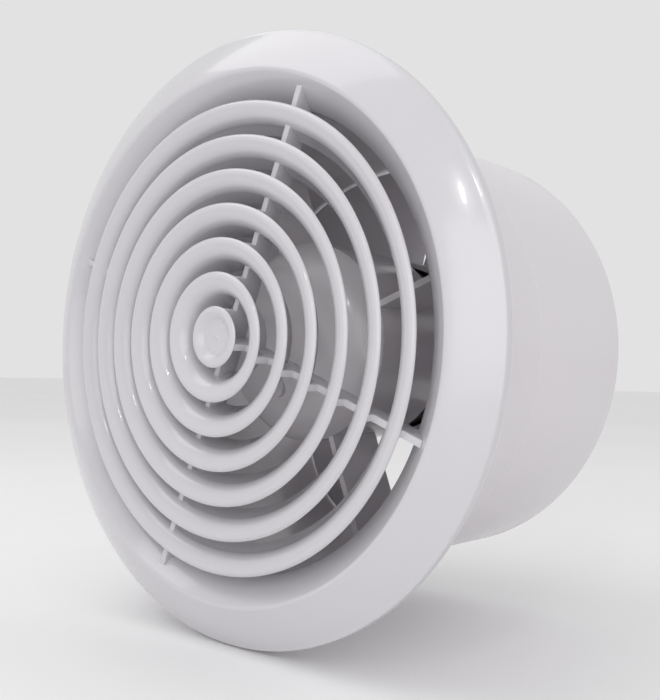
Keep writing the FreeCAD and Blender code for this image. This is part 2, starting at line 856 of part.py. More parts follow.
def pole_coils():
    def coil():
        return pole_frame(COIL_INNER, COIL_OUTER, BOBBIN_WALL, "%s + %s" % (BOBBIN_WALL, COIL_BUILD))

    return node("pole_coils", around(POLE_COUNT, POLE_START, coil))


def thermal_cutout():
    """Flat thermal fuse in the slot between two coils."""
    return node("thermal_cutout", box("18.6", "21.0", "stack_front + 3", "stack_front + 13", "5.0"))


FRONT_BUSH = "case_front + 1.5"
REAR_BUSH = "case_rear - 3.5 - bush_length"


def bush(start):
    """Sintered bush with a crowned outside."""
    bore = "shaft_radius + running_clearance"
    end = "%s + bush_length" % start
    return turned(
        [
            (bore, start),
            ("bush_radius - 1.4", start, "5.0"),
            ("bush_radius - 0.02", "%s + bush_length / 2" % start, "5.0"),
            ("bush_radius - 1.4", end),
            (bore, end),
        ]
    )


def bearings():
    node("front_bush", bush(FRONT_BUSH))
    node("rear_bush", bush(REAR_BUSH))


ROTOR_RADIUS = "pole_radius - air_gap"
CAGE_RING = "1.5"
BAR_CIRCLE = "pole_radius - air_gap - 1.7"


def cage_bar():
    return cylinder("0.95", "stack_front", STACK_REAR, BAR_CIRCLE)


def rotor_core():
    """Laminated rotor, with a hole for each bar of the cage."""
    core = tube("shaft_radius", ROTOR_RADIUS, "stack_front", STACK_REAR)
    return node("rotor_core", cut_from(core, [around(BAR_COUNT, "0", cage_bar)]))


def rotor_cage():
    """Aluminium end rings joined by bars."""
    inner = "%s - 4.0" % ROTOR_RADIUS
    outer = "%s - 0.3" % ROTOR_RADIUS
    front_ring = tube(inner, outer, "stack_front - %s" % CAGE_RING, "stack_front")
    rear_ring = tube(inner, outer, STACK_REAR, "%s + %s" % (STACK_REAR, CAGE_RING))
    return node("rotor_cage", fused([front_ring, rear_ring, around(BAR_COUNT, "0", cage_bar)]))


def thrust_washers():
    """Fibre washers that take the rotor's end play against the bushes."""
    outer = "shaft_radius + 2.2"
    front = tube("shaft_radius", outer, "%s + bush_length + 0.2" % FRONT_BUSH, "stack_front")
    rear = tube("shaft_radius", outer, STACK_REAR, "%s - 0.2" % REAR_BUSH)
    return node("thrust_washers", compound([front, rear]))


def motor_shaft():
    """Ground shaft, chamfered at both ends."""
    return node(
        "motor_shaft",
        turned(
            [
                ("0", "shaft_front"),
                ("shaft_radius - 0.5", "shaft_front"),
                ("shaft_radius", "shaft_front + 0.5"),
                ("shaft_radius", "shaft_rear - 0.5"),
                ("shaft_radius - 0.5", "shaft_rear"),
                ("0", "shaft_rear"),
            ]
        ),
    )


# ----------------------------------------------------------------- impeller

# Blade sections: radius, leading edge and trailing edge along the axis, and
# half the chord's width across it. Each blade covers 45 degrees.
BLADE_SECTIONS = (
    (26.0, 77.5, 89.0, 9.9),
    (38.0, 78.0, 92.0, 14.3),
    (52.0, 79.0, 95.5, 19.9),
    (76.0, 80.5, 99.5, 29.1),
)
BLADE_CAMBER = 0.03


def blade_section(radius, lead, trail, half_chord, thickness):
    """Closed cambered section in the plane across the radius, blunt at both edges."""
    leading = Vector(radius, lead, half_chord)
    trailing = Vector(radius, trail, -half_chord)
    chord = trailing - leading
    out = Vector(0, -chord.z, chord.y).normalize()
    if out.y > 0:
        out = out * -1
    rise = out * (chord.Length * BLADE_CAMBER)
    half = out * (thickness / 2)
    middle = (leading + trailing) * 0.5 + rise
    front_side = Part.Arc(leading + half * 0.5, middle + half, trailing + half * 0.4)
    back_side = Part.Arc(trailing - half * 0.4, middle - half, leading - half * 0.5)
    edges = [
        front_side.toShape(),
        Part.LineSegment(trailing + half * 0.4, trailing - half * 0.4).toShape(),
        back_side.toShape(),
        Part.LineSegment(leading - half * 0.5, leading + half * 0.5).toShape(),
    ]
    return Part.Wire(edges)


def blade_shape():
    """One blade, lofted through its sections and trimmed to the tip circle."""
    thickness = value_of("blade_thickness")
    wires = [blade_section(*section, thickness) for section in BLADE_SECTIONS]
    blade = Part.makeLoft(wires, True, False)
    start = Vector(0, 50, 0)
    hub_middle = value_of("hub_radius - hub_wall / 2")
    disc = Part.makeCylinder(value_of("blade_tip_radius"), 60, start, AXIS)
    return blade.common(disc).cut(Part.makeCylinder(hub_middle, 60, start, AXIS))


def impeller():
    """Cup-shaped hub, open towards the motor, with its blades."""
    inner = "hub_radius - hub_wall"
    back = "hub_rear - 2.2"
    hub = turned(
        [
            (inner, "hub_front"),
            ("hub_radius - 0.6", "hub_front"),
            ("hub_radius", "hub_front + 0.6"),
            ("hub_radius", "hub_rear - 4.0", "4.0"),
            ("hub_radius - 4.0", "hub_rear"),
            ("4.6", "hub_rear"),
            ("4.6", "case_rear + 3.0"),
            ("7.4", "case_rear + 3.0"),
            ("7.4", back),
            ("%s - 2.2" % inner, back, "-2.2"),
            (inner, "%s - 2.2" % back),
        ]
    )
    blades = doc.addObject("Part::Feature", "blades")
    shape = blade_shape()
    turns = []
    for number in range(BLADE_COUNT):
        copy = shape.copy()
        copy.rotate(Vector(), AXIS, -(value_of("blade_phase") + 360.0 / BLADE_COUNT * number))
        turns.append(copy)
    blades.Shape = Part.makeCompound(turns)
    return node("impeller", fused([hub, blades]))


def hub_insert():
    """Knurled brass insert between the hub's boss and the shaft."""
    return node("hub_insert", tube("shaft_radius", "4.6", "case_rear + 3.0", "hub_rear"))


def impeller_washer():
    return node("impeller_washer", tube("shaft_radius", "5.2", "hub_rear", "hub_rear + 0.8"))


def impeller_nut():
    """Hexagon nut on the shaft's end."""
    flats = doc.addObject("Part::Prism", "hexagon")
    flats.Polygon = 6
    flats.Placement = Placement(Vector(), ALONG_Y)
    flats.setExpression("Circumradius", "4.6")
    flats.setExpression("Height", "3.2")
    flats.setExpression("Placement.Base.y", bound("hub_rear + 0.8"))
    bore = cylinder("shaft_radius", "hub_rear", "hub_rear + 5")
    return node("impeller_nut", cut_from(flats, [bore]))


# -------------------------------------------------------------------- build

front_cover()
base_flange()
base_spigot()
motor_struts()
motor_cup()
duct_extension()
nose_cap()
nose_cap_screw()
cable_grommet()
cable_channel()
terminal_block()
terminal_inserts()
terminal_screws()
cord_clamp()
cord_clamp_screws()
motor_leads()
motor_case()
motor_front_shield()
motor_screws()
isolation_rings()
stator_stack()
shading_rings()
pole_bobbins()
pole_coils()
thermal_cutout()
bearings()
rotor_core()
rotor_cage()
thrust_washers()
motor_shaft()
impeller()
hub_insert()
impeller_washer()
impeller_nut()

sheet.clear("D1")
doc.recompute()

for item in doc.Objects:
    if "Invalid" in item.State or "Error" in item.State:
        raise RuntimeError("%s (%s) failed" % (item.Name, item.Label))
for item in NODES:
    if item.Shape.isNull() or not item.Shape.isValid():
        raise RuntimeError("%s has no valid shape" % item.Label)

os.makedirs("parts", exist_ok=True)
for item in NODES:
    item.Shape.exportStep("parts/%s.step" % item.Label)
    print("%-20s %2d solids %10.1f mm3" % (item.Label, len(item.Shape.Solids), item.Shape.Volume))
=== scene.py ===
"""Looks of a round bathroom extractor fan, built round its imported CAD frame.

Outlines are in millimetres as (distance from the fan's axis, distance along
it). The frame's +Y runs down the duct and +Z is up. Angles about the axis are
counted from +X towards +Z.
"""

import json
import math

import bmesh
import bpy
from mathutils import Matrix, Vector


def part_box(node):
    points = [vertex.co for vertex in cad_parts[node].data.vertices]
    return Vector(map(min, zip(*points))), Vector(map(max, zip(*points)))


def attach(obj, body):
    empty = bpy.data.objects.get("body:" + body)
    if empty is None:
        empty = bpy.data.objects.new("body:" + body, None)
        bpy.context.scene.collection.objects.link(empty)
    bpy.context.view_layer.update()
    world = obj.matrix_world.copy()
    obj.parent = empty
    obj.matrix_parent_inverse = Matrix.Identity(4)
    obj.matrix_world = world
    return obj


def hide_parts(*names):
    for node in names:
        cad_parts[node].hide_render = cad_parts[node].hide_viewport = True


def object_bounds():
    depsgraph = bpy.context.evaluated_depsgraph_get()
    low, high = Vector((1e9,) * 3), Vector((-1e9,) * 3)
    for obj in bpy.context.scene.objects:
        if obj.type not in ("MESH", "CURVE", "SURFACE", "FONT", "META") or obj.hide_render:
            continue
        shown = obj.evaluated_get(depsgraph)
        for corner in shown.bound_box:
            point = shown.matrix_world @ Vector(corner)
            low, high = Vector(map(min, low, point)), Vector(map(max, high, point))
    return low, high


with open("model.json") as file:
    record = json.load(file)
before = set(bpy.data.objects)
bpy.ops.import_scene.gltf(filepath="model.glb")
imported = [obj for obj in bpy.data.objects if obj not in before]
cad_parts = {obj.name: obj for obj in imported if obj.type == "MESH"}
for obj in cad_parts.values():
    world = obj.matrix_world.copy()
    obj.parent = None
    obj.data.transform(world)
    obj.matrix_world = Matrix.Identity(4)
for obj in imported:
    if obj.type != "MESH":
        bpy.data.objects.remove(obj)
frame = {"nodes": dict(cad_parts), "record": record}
CAD_LOW, CAD_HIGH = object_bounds()
MM = 0.001


def node_low(name):
    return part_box(name)[0] / MM


def node_high(name):
    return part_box(name)[1] / MM


# ------------------------------------------------------- sizes from the frame

FLANGE_RADIUS = node_high("front_bezel").x
SKIRT_REAR = node_high("front_bezel").y
GRILLE_BACK = node_high("front_grille").y
BASE_FRONT = node_low("base_flange").y
DUCT_RADIUS = node_high("duct_extension").x
DUCT_JOINT = node_low("duct_extension").y
DUCT_END = node_high("duct_extension").y
CUP_RADIUS = node_high("nose_cap").x
NOSE_FRONT = node_low("nose_cap").y
CASE_REAR = node_high("motor_case").y
HUB_REAR = node_high("hub_insert").y

# Sizes of features inside a node, which its box doesn't give.
# Duct tube.
DUCT_WALL = 1.8
DUCT_LAP = 8.0

# Bezel: its back edge, rounded rim, crest, mouth, throat and skirt.
BACK_FRONT = -3.3
EDGE_FRONT = -6.0
RIM_ROUNDING = 0.6
CREST_RADIUS, CREST_FRONT = 80.4, -12.8
MOUTH_RADIUS, MOUTH_FRONT = 78.85, -12.45
THROAT_RADIUS, THROAT_FRONT = 70.9, -4.8
SKIRT_RADIUS, SKIRT_INNER = 72.1, 70.5

# Grille: hub, rings spaced outwards on a shallow dome, and ribs.
GRILLE_HUB_RADIUS = 9.3
RING_COUNT = 6
RING_PITCH = 10.25
RING_LIP = 2.5
RING_CURVE = 4.4
RING_WIDTH = 9.2
RING_BACK = -5.8
RING_WALL = 1.2
GRILLE_FRONT = -17.8
GRILLE_DOME = 0.00088
RIB_ANGLE = 69.0
RIB_COUNT = 4
RIB_THICKNESS = 2.0
RIB_FRONT = -10.8

# Motor cup's nose cap.
STRUT_FRONT = 24.7
CUP_WALL = 1.8
NOSE_FLAT = 9.0
NOSE_HIP, NOSE_HIP_DEPTH = 24.0, 4.1
NOSE_SEAM = 0.1
NOSE_REBATE = 0.95

# Impeller.
HUB_RADIUS = 31.7
HUB_FRONT = 75.8
HUB_WALL = 1.8
HUB_FLOOR = 2.2
GROOVE_DEPTH = 0.9
BOSS_RADIUS, BOSS_BORE = 7.4, 4.6
CASE_GAP = 3.0
BLADE_TIP = 71.4
BLADE_COUNT = 6
BLADE_PHASE = 110.5

LATHE_STEPS = 288

# Camera and floor, in degrees and metres.
CAMERA_AZIMUTH, CAMERA_RISE, CAMERA_ROLL = 40.48, 1.40, 1.19
CAMERA_PLACE = (0.2078, -0.2062, -0.0100)
CAMERA_LENS = 48.45
FLOOR_REACH = 6.0
FLOOR_GAP = 0.0004


# ------------------------------------------------------------------ outlines


def arc_points(start, end, sagitta, steps=12):
    """Points of the arc from start to end, ends left out; it bulges right for sagitta > 0."""
    (x0, y0), (x1, y1) = start, end
    chord = math.hypot(x1 - x0, y1 - y0)
    radius = (chord * chord / 4 + sagitta * sagitta) / (2 * abs(sagitta))
    half = math.asin(min(1.0, chord / 2 / radius))
    middle = ((x0 + x1) / 2, (y0 + y1) / 2)
    right = ((y1 - y0) / chord, -(x1 - x0) / chord)
    along = ((x1 - x0) / chord, (y1 - y0) / chord)
    side = math.copysign(1.0, sagitta)
    points = []
    for step in range(1, steps):
        turn = half * (2 * step / steps - 1)
        out = side * (radius * math.cos(turn) - radius * math.cos(half))
        run = radius * math.sin(turn)
        x = middle[0] + right[0] * out + along[0] * run
        y = middle[1] + right[1] * out + along[1] * run
        points.append((x, y))
    return points


def rounded(corners, steps=7):
    """Closed outline whose corners (x, y, fillet radius) are rounded."""
    points = []
    count = len(corners)
    for index, corner in enumerate(corners):
        here = Vector(corner[:2])
        if len(corner) < 3 or corner[2] == 0:
            points.append(tuple(here))
            continue
        before = Vector(corners[index - 1][:2]) - here
        after = Vector(corners[(index + 1) % count][:2]) - here
        half = before.angle(after) / 2
        reach = min(corner[2] / math.tan(half), before.length * 0.49, after.length * 0.49)
        radius = reach * math.tan(half)
        first = here + before.normalized() * reach
        last = here + after.normalized() * reach
        centre = here + (before.normalized() + after.normalized()).normalized() * (radius / math.sin(half))
        begin = first - centre
        turn = begin.angle_signed(last - centre)
        for step in range(steps + 1):
            spin = -turn * step / steps
            ray = Vector(
                (
                    begin.x * math.cos(spin) - begin.y * math.sin(spin),
                    begin.x * math.sin(spin) + begin.y * math.cos(spin),
                )
            )
            points.append(tuple(centre + ray))
    return points


# -------------------------------------------------------------------- meshes


def finish_mesh(name, mesh, sharp_angle=32.0):
    """Outward normals, smooth faces with edges kept crisp above sharp_angle."""
    work = bmesh.new()
    work.from_mesh(mesh)
    bmesh.ops.remove_doubles(work, verts=work.verts, dist=1e-7)
    bmesh.ops.recalc_face_normals(work, faces=work.faces)
    work.to_mesh(mesh)
    work.free()
    mesh.shade_smooth()
    mesh.set_sharp_from_angle(angle=math.radians(sharp_angle))
    item = bpy.data.objects.new(name, mesh)
    bpy.context.scene.collection.objects.link(item)
    return item


def lathe(outline, steps=LATHE_STEPS):
    """Vertices and faces of a closed outline turned about the fan's axis."""
    vertices = []
    for turn in range(steps):
        angle = 2 * math.pi * turn / steps
        for radius, along in outline:
            vertices.append(Vector((radius * math.cos(angle), along, radius * math.sin(angle))) * MM)
    size = len(outline)
    faces = []
    for turn in range(steps):
        here = turn * size
        ahead = (turn + 1) % steps * size
        for corner in range(size):
            following = (corner + 1) % size
            faces.append((here + corner, ahead + corner, ahead + following, here + following))
    return vertices, faces


def spun(part, angle):
    """The same part turned about the fan's axis, from +X towards +Z."""
    vertices, faces = part
    turn = Matrix.Rotation(-math.radians(angle), 4, "Y")
    return [turn @ vertex for vertex in vertices], faces


def joined(name, parts, sharp_angle=32.0):
    """One object from several closed shells."""
    vertices = []
    faces = []
    for part_vertices, part_faces in parts:
        shift = len(vertices)
        vertices.extend(part_vertices)
        faces.extend(tuple(shift + corner for corner in face) for face in part_faces)
    mesh = bpy.data.meshes.new(name)
    mesh.from_pydata(vertices, [], faces)
    return finish_mesh(name, mesh, sharp_angle)


# -------------------------------------------------------------- front cover


def ring_radius(number):
    return GRILLE_HUB_RADIUS + RING_PITCH * number


def ring_front(number):
    return GRILLE_FRONT + GRILLE_DOME * ring_radius(number) ** 2


def curve(*stops):
    """Corners joined by arcs: each stop is (x, y) or (x, y, sagitta of the arc to the next stop)."""
    outline = []
    for index, stop in enumerate(stops):
        outline.append(stop[:2])
        if len(stop) == 3:
            outline += arc_points(stop[:2], stops[(index + 1) % len(stops)][:2], stop[2])
    return outline


def ring_outline(number):
    """Louvre ring: a rounded lip, then a curved slope that steepens towards the back."""
    outer = ring_radius(number)
    front = ring_front(number)
    inner = outer - RING_WIDTH
    nose = outer - RING_LIP
    hollow = nose - RING_CURVE
    return curve(
        (inner, RING_BACK),
        (hollow, front + RING_CURVE + 0.6, 0.9),
        (nose, front + 0.45, 0.52),
        (outer - 0.1, front + 1.0, 0.12),
        (outer - 0.35, front + 1.45),
        (outer - 1.2, front + 2.0, 0.06),
        (outer - 1.6, front + 2.15, -0.8),
        (hollow + 1.3, front + RING_CURVE + 1.1),
        (inner + RING_WALL, RING_BACK + 0.4, 0.12),
        (inner + 0.4, RING_BACK + 0.5, 0.1),
    )


def bezel_outline():
    """Bulging rim, conical throat, and the skirt that enters the spigot."""
    return curve(
        (FLANGE_RADIUS - 1.4, BACK_FRONT),
        (FLANGE_RADIUS - 0.25, BACK_FRONT, -0.06),
        (FLANGE_RADIUS, BACK_FRONT - 0.25),
        (FLANGE_RADIUS, EDGE_FRONT + RIM_ROUNDING, -0.18),
        (FLANGE_RADIUS - RIM_ROUNDING, EDGE_FRONT - 0.25, -0.47),
        (CREST_RADIUS, CREST_FRONT, -0.25),
        (MOUTH_RADIUS, MOUTH_FRONT),
        (THROAT_RADIUS + 0.5, THROAT_FRONT - 0.5, -0.1),
        (THROAT_RADIUS - 0.1, THROAT_FRONT + 0.8),
        (SKIRT_INNER, BASE_FRONT),
        (SKIRT_INNER, SKIRT_REAR - 0.5, -0.1),
        (SKIRT_INNER + 0.4, SKIRT_REAR),
        (SKIRT_RADIUS - 0.5, SKIRT_REAR),
        (SKIRT_RADIUS, SKIRT_REAR - 1.5),
        (SKIRT_RADIUS, BASE_FRONT),
        (THROAT_RADIUS + 1.7, THROAT_FRONT + 1.2),
        (CREST_RADIUS + 0.3, CREST_FRONT + 1.7, 0.4),
        (FLANGE_RADIUS - 1.8, EDGE_FRONT + 1.0),
    )


def hub_outline():
    """Dished grille hub: a lip like the rings', a sloping wall, a flat floor and a small pip."""
    front = GRILLE_FRONT + 0.8
    rim = GRILLE_HUB_RADIUS - 0.1
    return curve(
        (0.0, front + 1.6),
        (0.45, front + 1.7, 0.06),
        (0.9, front + 2.0),
        (4.9, front + 2.0, -0.06),
        (5.5, front + 1.75),
        (rim - 2.1, front + 0.45, 0.41),
        (rim, front + 0.9, 0.12),
        (rim - 0.5, front + 1.5),
        (rim - 2.4, front + 3.6),
        (0.0, front + 3.6),
    )


def extruded(outline, thickness, bevel=0.2):
    """Flat plate of any outline, standing on the radius, with its edges broken."""
    work = bmesh.new()
    near = [work.verts.new(Vector((x, y, -thickness / 2)) * MM) for x, y in outline]
    far = [work.verts.new(Vector((x, y, thickness / 2)) * MM) for x, y in outline]
    work.faces.new(near)
    work.faces.new(list(reversed(far)))
    for index in range(len(outline)):
        ahead = (index + 1) % len(outline)
        work.faces.new((near[ahead], near[index], far[index], far[ahead]))
    bmesh.ops.recalc_face_normals(work, faces=work.faces)
    bmesh.ops.bevel(work, geom=list(work.edges), offset=bevel * MM, segments=2, profile=0.6, affect="EDGES")
    work.verts.index_update()
    vertices = [vertex.co.copy() for vertex in work.verts]
    faces = [tuple(vertex.index for vertex in face.verts) for face in work.faces]
    work.free()
    return vertices, faces


def rib():
    """Rib that reaches forward behind each lip and steps outwards inside the bezel's wall."""
    tail = [(0.5, GRILLE_BACK), (0.5, GRILLE_FRONT + 3.5)]
    for number in range(RING_COUNT + 1):
        outer = ring_radius(number) - 0.4
        start = ring_front(number) + 1.7
        if number:
            tail += [(outer - 2.2, RIB_FRONT), (outer - 2.2, start)]
        tail += [(outer, start), (outer, RIB_FRONT)]
    end = THROAT_RADIUS + 1.5
    tail += [(end + 4.4, RIB_FRONT), (end + 4.4, GRILLE_BACK - 4.6), (end + 2.2, GRILLE_BACK - 4.6)]
    tail += [(end + 2.2, GRILLE_BACK - 2.3), (end, GRILLE_BACK - 2.3), (end, GRILLE_BACK)]
    return extruded(tail, RIB_THICKNESS)


def build_front_grille():
    """Hub, rings and ribs of the grille, as one object of closed shells."""
    parts = [lathe(hub_outline(), 128)]
    parts += [lathe(ring_outline(number)) for number in range(1, RING_COUNT + 1)]
    for number in range(RIB_COUNT):
        parts.append(spun(rib(), RIB_ANGLE + 360 / RIB_COUNT * number))
    return joined("front_grille_moulding", parts)


# ---------------------------------------------------------- duct and motor


def build_duct_extension():
    """Rear tube of the spigot, with its outer lap over the front part."""
    inner = DUCT_RADIUS - DUCT_WALL
    lap = DUCT_RADIUS - DUCT_WALL / 2
    outline = rounded(
        [
            (lap, DUCT_JOINT),
            (DUCT_RADIUS, DUCT_JOINT, 0.25),
            (DUCT_RADIUS, DUCT_END, 0.8),
            (inner, DUCT_END, 0.4),
            (inner, DUCT_JOINT + DUCT_LAP),
            (lap, DUCT_JOINT + DUCT_LAP),
        ]
    )
    return joined("duct_extension_tube", [lathe(outline)])


def build_nose_cap():
    """Domed cap: a flat middle, two arcs out to the cup, and a spigot that enters the cup."""
    seam = STRUT_FRONT - NOSE_SEAM
    flat = (NOSE_FLAT, NOSE_FRONT)
    hip = (NOSE_HIP, NOSE_FRONT + NOSE_HIP_DEPTH)
    edge = (CUP_RADIUS, seam)
    entering = CUP_RADIUS - NOSE_REBATE
    inner = CUP_RADIUS - CUP_WALL
    outline = [(0.0, NOSE_FRONT), flat]
    outline += arc_points(flat, hip, 0.85)
    outline.append(hip)
    outline += arc_points(hip, edge, 1.05)
    outline += [(CUP_RADIUS, seam - 0.15), (CUP_RADIUS - 0.15, seam)]
    outline += [(entering, seam), (entering, STRUT_FRONT + 0.7)]
    outline += [(inner, STRUT_FRONT + 0.7), (inner, seam)]
    outline += [(NOSE_HIP - 1.0, hip[1] + 1.7), (NOSE_FLAT, NOSE_FRONT + CUP_WALL)]
    outline.append((0.0, NOSE_FRONT + CUP_WALL))
    return joined("nose_cap_dome", [lathe(outline, 192)])


# ----------------------------------------------------------------- impeller

# Blade sections: radius, leading and trailing edge along the axis, and half
# the chord's width across it.
BLADE_SECTIONS = (
    (26.0, 77.5, 89.0, 9.9),
    (38.0, 78.0, 92.0, 14.3),
    (52.0, 79.0, 95.5, 19.9),
    (76.0, 80.5, 99.5, 29.1),
)
BLADE_THICKNESS = 2.2
BLADE_CAMBER = 0.03


def between_sections(radius):
    """Blade section at any radius, blended smoothly between the four that are given."""
    total = [0.0, 0.0, 0.0]
    for index, section in enumerate(BLADE_SECTIONS):
        weight = 1.0
        for other, rival in enumerate(BLADE_SECTIONS):
            if other != index:
                weight *= (radius - rival[0]) / (section[0] - rival[0])
        for value in range(3):
            total[value] += weight * section[value + 1]
    return total


def blade():
    """One cambered blade with a rounded nose and a thin tail, ending at the tip circle."""
    rows = 22
    around = 14
    inner = HUB_RADIUS - 1.2
    vertices = []
    for row in range(rows + 1):
        radius = inner + (BLADE_TIP - inner) * row / rows
        lead, trail, half_chord = between_sections(radius)
        leading = Vector((lead, half_chord))
        trailing = Vector((trail, -half_chord))
        chord = trailing - leading
        out = Vector((chord.y, -chord.x)).normalized()
        if out.x > 0:
            out.negate()
        sides = []
        for step in range(around + 1):
            share = step / around
            middle = leading + chord * share + out * (chord.length * BLADE_CAMBER * 4 * share * (1 - share))
            half = BLADE_THICKNESS / 2 * (0.45 + 2.2 * share * (1 - share)) * (1 - 0.35 * share)
            sides.append((middle + out * half, middle - out * half))
        loop = [pair[0] for pair in sides] + [pair[1] for pair in reversed(sides)]
        for along, across in loop:
            # Bend the flat section round the circle of this radius.
            angle = across / radius
            vertices.append(Vector((radius * math.cos(angle), along, radius * math.sin(angle))) * MM)
    size = 2 * (around + 1)
    faces = []
    for row in range(rows):
        here = row * size
        ahead = here + size
        for corner in range(size):
            following = (corner + 1) % size
            faces.append((here + corner, here + following, ahead + following, ahead + corner))
    faces.append(tuple(range(size)))
    faces.append(tuple(rows * size + corner for corner in reversed(range(size))))
    return vertices, faces


def build_impeller():
    """Cup-shaped hub with a boss for the shaft and a groove round it, and the blades."""
    inner = HUB_RADIUS - HUB_WALL
    floor = HUB_REAR - HUB_FLOOR
    groove = HUB_REAR - GROOVE_DEPTH
    boss_front = CASE_REAR + CASE_GAP
    hub = rounded(
        [
            (inner, HUB_FRONT),
            (HUB_RADIUS, HUB_FRONT, 0.6),
            (HUB_RADIUS, HUB_REAR, 4.0),
            (13.0, HUB_REAR, 0.8),
            (12.0, groove, 0.6),
            (8.0, groove, 0.6),
            (BOSS_RADIUS, HUB_REAR, 0.4),
            (BOSS_BORE, HUB_REAR),
            (BOSS_BORE, boss_front),
            (BOSS_RADIUS, boss_front),
            (BOSS_RADIUS, floor),
            (inner, floor, 2.0),
        ]
    )
    parts = [lathe(hub, 160)]
    parts += [spun(blade(), BLADE_PHASE + 360 / BLADE_COUNT * number) for number in range(BLADE_COUNT)]
    return joined("impeller_moulding", parts, 40.0)


# ---------------------------------------------------------------- materials


class Nodes:
    """A new material with its Principled shader and short calls to add nodes."""

    def __init__(self, name):
        self.material = bpy.data.materials.new(name)
        self.material.use_nodes = True
        self.tree = self.material.node_tree
        self.shader = self.tree.nodes["Principled BSDF"]
        self.place = self.add("ShaderNodeTexCoord").outputs["Object"]

    def add(self, kind, **settings):
        made = self.tree.nodes.new(kind)
        for key, value in settings.items():
            setattr(made, key, value)
        return made

    def link(self, output, socket):
        self.tree.links.new(output, socket)

    def noise(self, scale, detail=4.0, roughness=0.55, stretch=None):
        texture = self.add("ShaderNodeTexNoise")
        texture.inputs["Scale"].default_value = scale
        texture.inputs["Detail"].default_value = detail
        texture.inputs["Roughness"].default_value = roughness
        place = self.place
        if stretch is not None:
            mapping = self.add("ShaderNodeMapping")
            mapping.inputs["Scale"].default_value = stretch
            self.link(place, mapping.inputs["Vector"])
            place = mapping.outputs["Vector"]
        self.link(place, texture.inputs["Vector"])
        return texture.outputs["Fac"]

    def ramp(self, value, low, high, start=0.3, end=0.7):
        """Colour ramp between two colours."""
        ramp = self.add("ShaderNodeValToRGB")
        ramp.color_ramp.elements[0].position = start
        ramp.color_ramp.elements[1].position = end
        ramp.color_ramp.elements[0].color = (*low, 1.0)
        ramp.color_ramp.elements[1].color = (*high, 1.0)
        self.link(value, ramp.inputs["Fac"])
        return ramp.outputs["Color"]

    def spread(self, value, low, high):
        """Number between low and high."""
        spread = self.add("ShaderNodeMapRange")
        spread.inputs["From Min"].default_value = 0.25
        spread.inputs["From Max"].default_value = 0.75
        spread.inputs["To Min"].default_value = low
        spread.inputs["To Max"].default_value = high
        self.link(value, spread.inputs["Value"])
        return spread.outputs["Result"]

    def edge(self, width=0.0005):
        """Rises from 0 on flat faces to 1 along edges, over a width in metres."""
        bevel = self.add("ShaderNodeBevel", samples=4)
        bevel.inputs["Radius"].default_value = width
        agreement = self.add("ShaderNodeVectorMath", operation="DOT_PRODUCT")
        self.link(bevel.outputs["Normal"], agreement.inputs[0])
        self.link(self.add("ShaderNodeNewGeometry").outputs["Normal"], agreement.inputs[1])
        spread = self.add("ShaderNodeMapRange")
        spread.inputs["From Min"].default_value = 0.99
        spread.inputs["From Max"].default_value = 0.85
        self.link(agreement.outputs["Value"], spread.inputs["Value"])
        return spread.outputs["Result"]

    def blend(self, share, colour, highlight_colour):
        """Colour output turned towards a paler colour by a share that is an output; plastic() uses it for a
        painted highlight along edges.
        """
        mix = self.add("ShaderNodeMix", data_type="RGBA")
        self.link(share, mix.inputs[0])
        self.link(colour, mix.inputs[6])
        mix.inputs[7].default_value = (*highlight_colour, 1.0)
        return mix.outputs[2]

    def bump(self, layers):
        """Stack bump layers of (height, distance in metres, strength)."""
        normal = None
        for height, distance, strength in layers:
            bump = self.add("ShaderNodeBump")
            bump.inputs["Distance"].default_value = distance
            bump.inputs["Strength"].default_value = strength
            self.link(height, bump.inputs["Height"])
            if normal is not None:
                self.link(normal, bump.inputs["Normal"])
            normal = bump.outputs["Normal"]
        self.link(normal, self.shader.inputs["Normal"])


def plastic(name, colour, roughness, tint=0.03, coat=0.0, grain=0.0, bump=0.25):
    """Moulded plastic: faint flow marks, fine skin texture, handling scuffs in the gloss, and a painted
    highlight along every edge.
    """
    made = Nodes(name)
    darker = tuple(max(0.0, channel * (1 - tint)) for channel in colour)
    flow = made.noise(9.0, 3.0)
    # Paler colour along every edge is a painted edge highlight, not wear.
    edge_highlight_colour = tuple(min(1.0, channel * 1.1 + 0.01) for channel in colour)
    body = made.ramp(flow, darker, colour)
    made.link(made.blend(made.edge(), body, edge_highlight_colour), made.shader.inputs["Base Color"])
    scuffs = made.noise(60.0, 8.0, 0.7)
    made.link(made.spread(scuffs, roughness * 0.82, roughness * 1.25), made.shader.inputs["Roughness"])
    skin = made.noise(420.0, 2.0)
    layers = [(made.noise(26.0, 2.0), 0.00035, bump), (skin, 0.00004, bump * 0.6)]
    if grain:
        layers.append((made.noise(1400.0, 2.0), 0.00005, grain))
    made.bump(layers)
    made.shader.inputs["Coat Weight"].default_value = coat
    made.shader.inputs["Coat Roughness"].default_value = 0.06
    made.shader.inputs["IOR"].default_value = 1.5
    return made.material


def metal(name, colour, roughness, brushed=(1.0, 1.0, 1.0), bump=0.2):
    """Machined or plated metal: tool marks along one direction and uneven tarnish."""
    made = Nodes(name)
    dull = tuple(channel * 0.72 for channel in colour)
    tarnish = made.noise(120.0, 6.0, 0.65)
    made.link(made.ramp(tarnish, dull, colour, 0.35, 0.62), made.shader.inputs["Base Color"])
    marks = made.noise(900.0, 3.0, 0.6, brushed)
    made.link(made.spread(marks, roughness * 0.7, roughness * 1.4), made.shader.inputs["Roughness"])
    made.bump([(marks, 0.00003, bump)])
    made.shader.inputs["Metallic"].default_value = 1.0
    return made.material


def rubber(name, colour):
    """Dull moulded rubber with a fine grain and paler bloom."""
    made = Nodes(name)
    pale = tuple(min(1.0, channel * 1.6 + 0.01) for channel in colour)
    made.link(made.ramp(made.noise(180.0, 6.0), colour, pale, 0.45, 0.8), made.shader.inputs["Base Color"])
    made.link(made.spread(made.noise(300.0), 0.6, 0.85), made.shader.inputs["Roughness"])
    made.bump([(made.noise(1500.0, 2.0), 0.00006, 0.4)])
    return made.material


